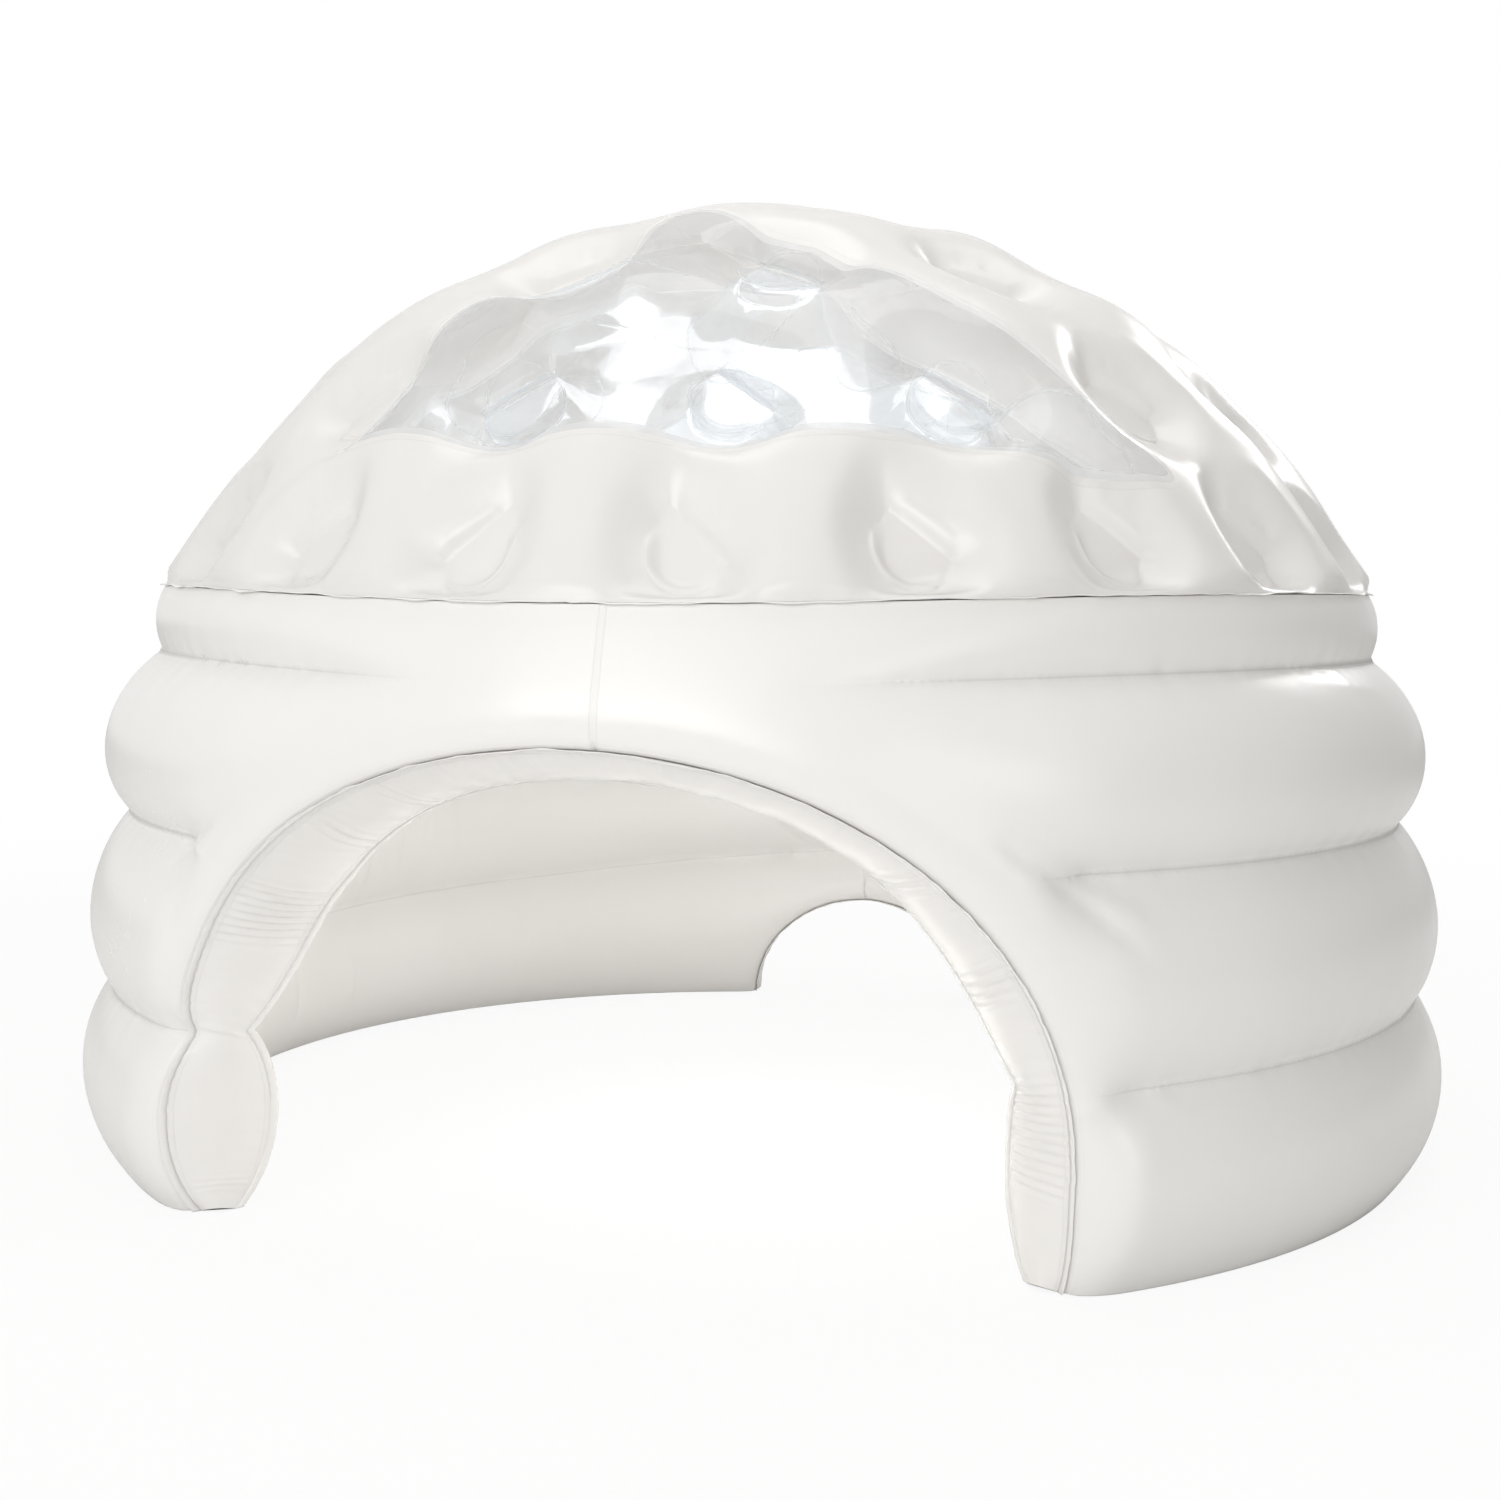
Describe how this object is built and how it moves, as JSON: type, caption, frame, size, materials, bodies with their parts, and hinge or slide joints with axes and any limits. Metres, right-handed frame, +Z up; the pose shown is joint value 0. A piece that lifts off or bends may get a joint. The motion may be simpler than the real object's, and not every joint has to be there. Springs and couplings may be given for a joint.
{
  "type": "inflatable play tent",
  "caption": "Inflatable igloo tent of white film with a ringed double wall, front and rear arches, and a dimpled double-skin dome with clear windows.",
  "frame": {"origin": "on the floor, under the middle of the overall size; the tent's round axis stands 33 mm in front of it", "axes": "+Z up; the front arch faces -Y and the rear arch +Y; +X is to the right of a person facing the front arch"},
  "size_m": [2, 1.9078, 1.345],
  "materials": {
    "white_film": "glossy slightly warm white PVC film",
    "clear_film": "clear PVC film with a cool tint",
    "white_plastic": "satin white moulded plastic",
    "grey_rubber": "matte grey rubber"
  },
  "bodies": {
    "tent": {"wall_outer_skin_right": "white_film", "wall_outer_skin_left": "white_film", "wall_inner_skin_right": "white_film", "wall_inner_skin_left": "white_film", "base_strip_right": "white_film", "base_strip_left": "white_film", "lower_ring_web": "white_film", "upper_ring_web": "white_film", "collar_web": "white_film", "dome_base_web": "white_film", "dome_seam_flange": "white_film", "front_arch_strip": "white_film", "front_arch_outer_flange": "white_film", "front_arch_inner_flange": "white_film", "rear_arch_strip": "white_film", "rear_arch_outer_flange": "white_film", "rear_arch_inner_flange": "white_film", "dome_outer_skin": "white_film", "dome_inner_skin": "white_film", "front_window_outer_film": "clear_film", "rear_window_outer_film": "clear_film", "front_window_inner_film": "clear_film", "rear_window_inner_film": "clear_film", "wall_valve_seat": "white_plastic", "dome_valve_seat": "white_plastic"},
    "wall_seal": {"wall_valve_seal_ring": "grey_rubber"},
    "wall_stopper": {"wall_valve_stopper": "white_plastic", "wall_valve_tether": "white_plastic"},
    "wall_gasket": {"wall_valve_cap_gasket": "grey_rubber"},
    "wall_cap": {"wall_valve_cap": "white_plastic"},
    "wall_flap": {"wall_valve_flap": "grey_rubber"},
    "dome_seal": {"dome_valve_seal_ring": "grey_rubber"},
    "dome_stopper": {"dome_valve_stopper": "white_plastic", "dome_valve_tether": "white_plastic"},
    "dome_gasket": {"dome_valve_cap_gasket": "grey_rubber"},
    "dome_cap": {"dome_valve_cap": "white_plastic"},
    "dome_flap": {"dome_valve_flap": "grey_rubber"}
  },
  "joints": [
    {"name": "wall_stopper_rise", "type": "slide", "parent": "tent", "child": "wall_seal", "axis": [0.4226, 0.9063, 0], "range_m": [0, 0.016]},
    {"name": "wall_stopper_turn", "type": "hinge", "parent": "wall_seal", "child": "wall_stopper", "pos_m": [0.42135, 0.87059, 0.117], "axis": [0.4226, 0.9063, 0], "range_deg": [0, 720]},
    {"name": "wall_cap_rise", "type": "slide", "parent": "wall_stopper", "child": "wall_gasket", "axis": [0.4226, 0.9063, 0], "range_m": [0, 0.004]},
    {"name": "wall_cap_turn", "type": "hinge", "parent": "wall_gasket", "child": "wall_cap", "pos_m": [0.42135, 0.87059, 0.117], "axis": [0.4226, 0.9063, 0], "range_deg": [0, 360]},
    {"name": "wall_flap_open", "type": "slide", "parent": "wall_stopper", "child": "wall_flap", "axis": [-0.4226, -0.9063, 0], "range_m": [0, 0.002], "stiffness_N_per_m": 5, "springref_m": -0.001},
    {"name": "dome_stopper_rise", "type": "slide", "parent": "tent", "child": "dome_seal", "axis": [0.3326, 0.7836, 0.5247], "range_m": [0, 0.016]},
    {"name": "dome_stopper_turn", "type": "hinge", "parent": "dome_seal", "child": "dome_stopper", "pos_m": [0.32441, 0.73125, 0.877], "axis": [0.3326, 0.7836, 0.5247], "range_deg": [0, 720]},
    {"name": "dome_cap_rise", "type": "slide", "parent": "dome_stopper", "child": "dome_gasket", "axis": [0.3326, 0.7836, 0.5247], "range_m": [0, 0.004]},
    {"name": "dome_cap_turn", "type": "hinge", "parent": "dome_gasket", "child": "dome_cap", "pos_m": [0.32441, 0.73125, 0.877], "axis": [0.3326, 0.7836, 0.5247], "range_deg": [0, 360]},
    {"name": "dome_flap_open", "type": "slide", "parent": "dome_stopper", "child": "dome_flap", "axis": [-0.3326, -0.7836, -0.5247], "range_m": [0, 0.002], "stiffness_N_per_m": 5, "springref_m": -0.001}
  ],
  "couplings": [
    {"joint": "wall_stopper_turn", "follows": "wall_stopper_rise", "rad_per_m": 785.4},
    {"joint": "wall_cap_turn", "follows": "wall_cap_rise", "rad_per_m": 1570.8},
    {"joint": "dome_stopper_turn", "follows": "dome_stopper_rise", "rad_per_m": 785.4},
    {"joint": "dome_cap_turn", "follows": "dome_cap_rise", "rad_per_m": 1570.8}
  ]
}
